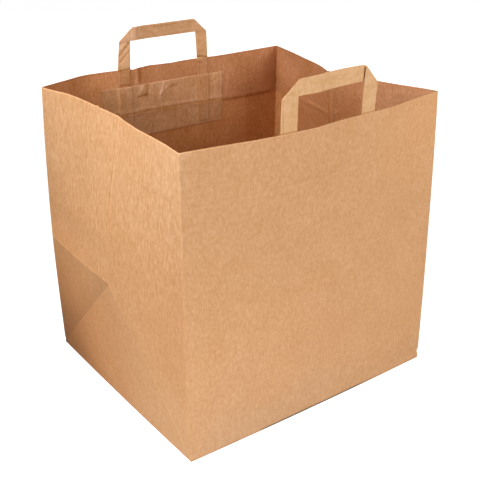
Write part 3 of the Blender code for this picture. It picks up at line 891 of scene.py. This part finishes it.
# At the rear: painted light on the left leg above the bag and on the right leg in it, painted shade in the
# wrinkles and creases with highlight on their ridges, dark and light marks of painted shade and highlight in
# a band along the bar's top, and a painted shadow beside the legs' right sides in the bag.
REAR_STRIP_MARKS = STRIP_MARKS + (
    ("groove", 0.34 / MM),
    (Slope("x", 0.15, 0, -40, -30), Slope("z", 0, 1, 318, 330)),
    (Line("across", 3.4, 1.5, 1), Slope("z", 0, 1, 355, 360), Grain((420, 1, 30), 2, 0.5, -0.22, 0.1)),
    (IN_BAG, Slope("x", 0, 0.09, 0, 40)),
    (IN_BAG, Line("across", 14.5, 0.8, -0.3)),
)
# Painted highlight where the patch's cut edge catches the light, strongest along the right part of its lower
# edge; painted shade in its creases and highlight on their ridges; and painted shade on the hump over the
# right leg.
PATCH_MARKS = (
    (Line("edge", 0, 0.9, 0.17), Slope("x", 0.3, 1, -75, -45)),
    (Line("edge", 0, 1.1, 1), Slope("z", 1, 0, 240, 243), Slope("x", 0, 0.24, 5, 60)),
    ("groove", 0.5 / MM),
    (Slope("x", 0, -0.09, 40, 43), Slope("x", 1, 0, 54, 58)),
)

# Other colours that the papers turn to, as (where, colour). Outside: warmer round the height of the apex,
# deeper round the rear lower corner as painted shade, paler beside the front fold at the mouth and the foot,
# and on the front wall paler near its foot and warmer towards its upper right corner.
PALE_LEFT_COLOUR = (0.63, 0.353, 0.176, 1)
OUTSIDE_BLENDS = (
    ((LEFT, BEHIND_FOLD, Soft("z", 0, 1, 40, 105), Soft("z", 1, 0, 180, 255)), (0.6, 0.31, 0.139, 1)),
    # Painted shade: a deeper, redder colour round the left wall's rear lower corner.
    ((LEFT, Soft("low_corner", 1, 0, 15, 225)), (0.605, 0.251, 0.088, 1)),
    ((LEFT, BEHIND_FOLD, Soft("z", 0, 1, 225, 305), Soft("y", 1, 0, -130, -30)), PALE_LEFT_COLOUR),
    ((LEFT, BEHIND_FOLD, Soft("z", 1, 0, 10, 85), Soft("y", 1, 0, -130, -30)), PALE_LEFT_COLOUR),
    ((Slope("y", 1, 0, -141, -139), Soft("z", 1, 0, 10, 130), Slope("x", 1, 0.2, -130, 110)),
     (0.53, 0.304, 0.161, 1)),
    ((Slope("y", 1, 0, -135, -132), Soft("z", 0, 1, 200, 300), Slope("x", 0, 1, 50, 130)),
     (0.665, 0.345, 0.156, 1)),
)
# Inside: deeper and redder below the rear wall's rim crease, as painted shade, and paler towards the front of
# the right wall, as painted light.
INSIDE_BLENDS = (((REAR_INSIDE, Soft("rim_crease", 1, 0, -6, 2)), (0.568, 0.235, 0.074, 1)),
                 ((RIGHT_INSIDE, Soft("y", 1, 0, -100, -30)), (0.545, 0.268, 0.132, 1)))
# Painted shade: deeper at the patch's left end and on the rear handle's legs in the bag; and the colour of
# its bar.
PATCH_BLENDS = ((Soft("x", 1, 0, -90, -15), (0.43, 0.2, 0.081, 1)),)
REAR_HANDLE_BLENDS = ((IN_BAG, (0.505, 0.232, 0.096, 1)),
                      (Slope("z", 0, 1, 350, 354), (0.582, 0.317, 0.156, 1)))
# Slow changes of the tone: level streaks of the left wall, stronger towards its top, and the strips' ripples.
SIDE_STREAKS = (Grain((1, 430, 95), 3, 0.65, -1, 1), Slope("x", 0.16, 0, -140, -130), BEHIND_FOLD,
                Soft("z", 0.2, 1, 90, 210))
FRONT_RIPPLES = Grain((90, 90, 240), 2, 0.5, -0.08, 0.08)
REAR_RIPPLES = Grain((90, 90, 240), 2, 0.5, -0.1, 0.1)


class Painter:
    """Builds the nodes of a paper. A value is a number, a node's output, or the name of an axis or field."""

    def __init__(self, name):
        self.material = bpy.data.materials.new(name)
        self.material.use_nodes = True
        self.nodes, self.links = self.material.node_tree.nodes, self.material.node_tree.links
        self.shader = self.nodes["Principled BSDF"]
        self.place = self.node("TexCoord").outputs["Object"]
        split = self.node("SeparateXYZ", {0: self.place})
        self.named = dict(zip("xyz", split.outputs))
        self.drawn = {}

    def node(self, kind, sockets=None, **settings):
        """A new node of a kind, with its settings and the values of its sockets."""
        made = self.nodes.new("ShaderNode" + kind)
        for label, value in settings.items():
            setattr(made, label, value)
        for label, value in (sockets or {}).items():
            self.feed(made.inputs[label], value)
        return made

    def output(self, name):
        """The output that a name stands for."""
        if name not in self.named:
            self.named[name] = self.node("Attribute", attribute_name=name).outputs["Fac"]
        return self.named[name]

    def feed(self, socket, value):
        """Gives a socket its value, or links it."""
        if isinstance(value, str):
            value = self.output(value)
        if isinstance(value, bpy.types.NodeSocket):
            self.links.new(value, socket)
        else:
            socket.default_value = value

    def calculate(self, operation, *values):
        """The outcome of a sum, carried on over all the values."""
        made = values[0]
        for value in values[1:]:
            made = self.node("Math", {0: made, 1: value}, operation=operation).outputs[0]
        return made

    def noise(self, scale, detail, roughness):
        mapping = self.node("Mapping", {"Scale": scale, "Vector": self.place})
        sockets = {"Scale": 1, "Detail": detail, "Roughness": roughness, "Vector": mapping.outputs["Vector"]}
        return self.node("TexNoise", sockets).outputs["Fac"]

    def span(self, value, low, high, start=NOISE_LOW, end=NOISE_HIGH, kind="LINEAR"):
        """Carries a value from start and end to low and high."""
        sockets = {"Value": value, "From Min": start, "From Max": end, "To Min": low, "To Max": high}
        return self.node("MapRange", sockets, interpolation_type=kind).outputs["Result"]

    def line(self, distance, at, half_width, amount):
        """An amount on the line, fading off beside it."""
        share = self.calculate("DIVIDE", self.calculate("SUBTRACT", distance, at * MM), half_width * MM)
        square = self.calculate("MULTIPLY", share, share, -1)
        return self.calculate("MULTIPLY", self.calculate("POWER", math.e, square), amount)

    def amount(self, item):
        """The output that draws an item of the tables above, or the product of a tuple of them."""
        if isinstance(item, (str, int, float)):
            return item
        if type(item) is tuple:
            return self.calculate("MULTIPLY", *map(self.amount, item))
        key = (type(item), item)
        if key not in self.drawn:
            self.drawn[key] = self.draw(item)
        return self.drawn[key]

    def draw(self, item):
        if isinstance(item, Line):
            return self.line(*item)
        if isinstance(item, Grain):
            return self.span(self.noise(*item[:3]), *item[3:])
        kind = "SMOOTHSTEP" if isinstance(item, Soft) else "LINEAR"
        return self.span(item.value, item.low, item.high, item.start * MM, item.end * MM, kind)

    def mix(self, kind, share, first, second):
        """Two colours blended, each a constant or another node's output."""
        sockets = {"Factor": share, 6: first, 7: second}
        return self.node("Mix", sockets, data_type="RGBA", blend_type=kind).outputs[2]

    def tinted(self, tone):
        """A tone as a colour: darker paper is browner, so its blue falls fastest and its red slowest; painted
        shade run through it browns the same way.
        """
        channels = {i: self.calculate("POWER", tone, power) for i, power in enumerate(TINT_POWERS)}
        return self.node("CombineColor", channels).outputs[0]

    def finish(self, colour, height):
        """The colour, and a bump from the height."""
        bump = self.node("Bump", {"Strength": TOOTH_STRENGTH, "Distance": TOOTH_DEPTH, "Height": height})
        sockets = {"Base Color": colour, "Roughness": PAPER_ROUGHNESS, "Specular IOR Level": PAPER_GLOSS,
                   "Normal": bump.outputs["Normal"]}
        for label, value in sockets.items():
            self.feed(self.shader.inputs[label], value)
        return self.material


def kraft(name, colour, marks_on, tones=(0.10, 0.07), clouds=0.03, sway=None, blends=(), brown_marks=True):
    """Kraft paper: mottled pulp, fine streaks along the grain, a soft tooth, and its marks, mostly painted
    light and shade along creases, folds and edges.

    Tones and clouds say how far the noises stray. Brown marks deepen the colour, and others only darken it.
    """
    paint = Painter(name)
    noises = [paint.noise(*settings) for settings in (CLOUDS, MOTTLE, STREAKS)]
    varied = [paint.span(noise, 1 - by, 1 + by) for noise, by in zip(noises, (clouds, *tones))]
    if sway:
        varied.append(paint.calculate("ADD", paint.amount(sway), 1))
    tone = paint.calculate("MULTIPLY", *varied)
    drawn = paint.calculate("ADD", 1, *map(paint.amount, marks_on))
    drawn = paint.calculate("MAXIMUM", drawn, DARKEST)
    if brown_marks:
        shade = paint.tinted(paint.calculate("MULTIPLY", tone, drawn))
    else:
        shade = paint.mix("MULTIPLY", 1, paint.tinted(tone), drawn)
    for place, other in blends:
        colour = paint.mix("MIX", paint.amount(place), colour, other)
    return paint.finish(paint.mix("MULTIPLY", 1, colour, shade), paint.calculate("ADD", *noises[1:]))


PAPERS = {
    "outside": kraft("kraft_bag_paper", OUTSIDE_COLOUR, OUTER_MARKS, tones=(0.14, 0.07), sway=SIDE_STREAKS,
                     blends=OUTSIDE_BLENDS, brown_marks=False),
    # The inside paper: the same kraft, painted darker and redder as the shade of the bag's inside.
    "inside": kraft("kraft_inner_paper", SHADED_INSIDE_COLOUR, INNER_MARKS, tones=(0.21, 0.14), clouds=0.13,
                    blends=INSIDE_BLENDS),
    "base": kraft("kraft_base_paper", OUTSIDE_COLOUR, BASE_MARKS, tones=(0.14, 0.07), brown_marks=False),
    "patch": kraft("kraft_patch_paper", PATCH_COLOUR, PATCH_MARKS, tones=(0.25, 0.11), clouds=0.12,
                   blends=PATCH_BLENDS),
    "front": kraft("kraft_handle_paper", FRONT_HANDLE_COLOUR, FRONT_STRIP_MARKS, sway=FRONT_RIPPLES),
    "rear": kraft("kraft_handle_inner_paper", REAR_HANDLE_COLOUR, REAR_STRIP_MARKS, sway=REAR_RIPPLES,
                  blends=REAR_HANDLE_BLENDS),
}


def camera_glow(tree, dark, bright, socket):
    """Makes a socket bright for the camera and dark for the light itself."""
    made = tree.nodes.new("ShaderNodeMapRange")
    made.inputs["To Min"].default_value = dark
    made.inputs["To Max"].default_value = bright
    seen = tree.nodes.new("ShaderNodeLightPath")
    tree.links.new(seen.outputs["Is Camera Ray"], made.inputs["Value"])
    tree.links.new(made.outputs["Result"], socket)


def floor():
    """A plain pale floor."""
    mesh = bmesh.new()
    bmesh.ops.create_grid(mesh, x_segments=1, y_segments=1, size=FLOOR_REACH)
    made = mesh_object("floor", mesh)
    pale = bpy.data.materials.new("pale_floor")
    pale.use_nodes = True
    shader = pale.node_tree.nodes["Principled BSDF"]
    shader.inputs["Base Color"].default_value = (FLOOR_TONE, FLOOR_TONE, FLOOR_TONE, 1)
    shader.inputs["Roughness"].default_value = FLOOR_ROUGHNESS
    shader.inputs["Emission Color"].default_value = (1, 1, 1, 1)
    camera_glow(pale.node_tree, 0, FLOOR_GLOW, shader.inputs["Emission Strength"])
    made.data.materials.append(pale)


def camera():
    """The photograph's camera."""
    lens = bpy.data.cameras.new("camera")
    lens.lens = CAMERA_LENS
    lens.sensor_width = 36
    lens.clip_start = 0.01
    made = new_object("camera", lens)
    turned = Matrix.Rotation(CAMERA_AZIMUTH, 4, "Z") @ Matrix.Rotation(math.pi / 2 - CAMERA_ELEVATION, 4, "X")
    made.matrix_world = Matrix.Translation(CAMERA_PLACE) @ turned @ Matrix.Rotation(CAMERA_ROLL, 4, "Z")
    bpy.context.scene.camera = made


def softbox(name, place, aim, size, power, spread):
    """A soft area light at a place, turned to a point."""
    light = bpy.data.lights.new(name, "AREA")
    light.shape = "SQUARE"
    light.size = size
    light.energy = power
    light.spread = math.radians(spread)
    made = new_object(name, light)
    made.location = place
    made.rotation_euler = (Vector(aim) - Vector(place)).to_track_quat("-Z", "Y").to_euler()


def studio():
    """Soft white studio light, in a white room that gives little light itself."""
    world = bpy.data.worlds.new("studio")
    bpy.context.scene.world = world
    world.use_nodes = True
    background = world.node_tree.nodes["Background"]
    background.inputs["Color"].default_value = (1, 1, 1, 1)
    camera_glow(world.node_tree, ROOM_LIGHT, 1, background.inputs["Strength"])
    for light in SOFTBOXES:
        softbox(*light)
    bpy.context.scene.view_settings.view_transform = "Standard"


def main():
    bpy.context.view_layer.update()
    bag_sheet(PAPERS["outside"], PAPERS["inside"])
    base_flap("rear_base_flap_sheet", "rear", FLAP, PAPERS["base"])
    base_flap("front_base_flap_sheet", "front", 0, PAPERS["base"])
    for wall in ("front", "rear"):
        handle(wall, PAPERS[wall])
        patch(wall, PAPERS["patch"])
    floor()
    studio()
    camera()
    bpy.context.view_layer.update()


main()
